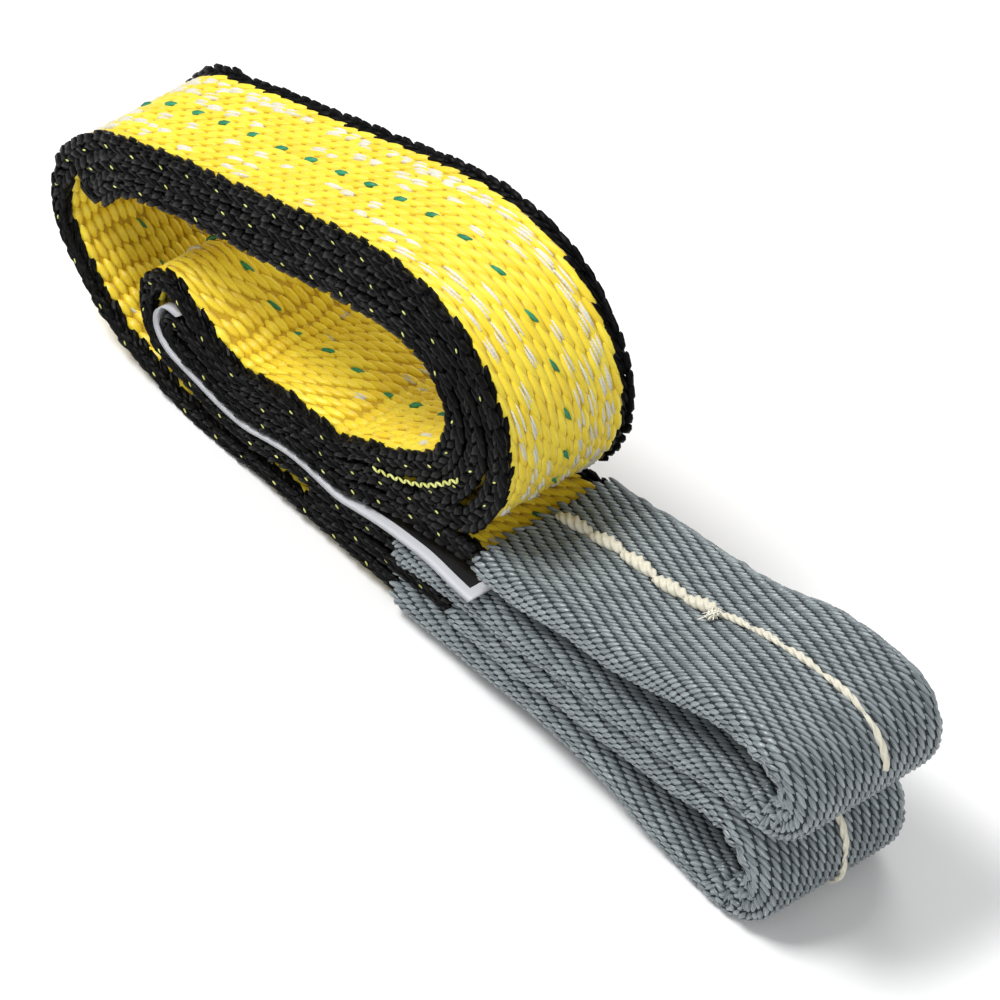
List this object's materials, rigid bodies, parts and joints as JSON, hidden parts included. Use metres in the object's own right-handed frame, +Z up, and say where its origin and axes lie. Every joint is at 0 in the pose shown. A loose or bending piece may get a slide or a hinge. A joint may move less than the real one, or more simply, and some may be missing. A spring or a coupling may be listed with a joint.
{
  "type": "lifting strap",
  "caption": "Flat woven lifting sling with a sleeved eye at each end, folded into a compact hank for storage.",
  "frame": {"origin": "on the floor under the middle of the folded hank", "axes": "+X along the hank towards the sleeved eyes, +Y across the webbing's width, +Z up"},
  "size_m": [0.1846, 0.028, 0.0715],
  "materials": {
    "webbing": "woven",
    "sleeve_upper": "woven",
    "sleeve_lower": "woven",
    "label_strip": "satin",
    "seam_thread_upper": "twisted",
    "seam_thread_lower": "twisted"
  },
  "bodies": {
    "root": {"webbing": "webbing", "sleeve_upper": "sleeve_upper", "sleeve_lower": "sleeve_lower", "label_strip": "label_strip", "seam_thread_upper": "seam_thread_upper", "seam_thread_lower": "seam_thread_lower"}
  },
  "joints": []
}
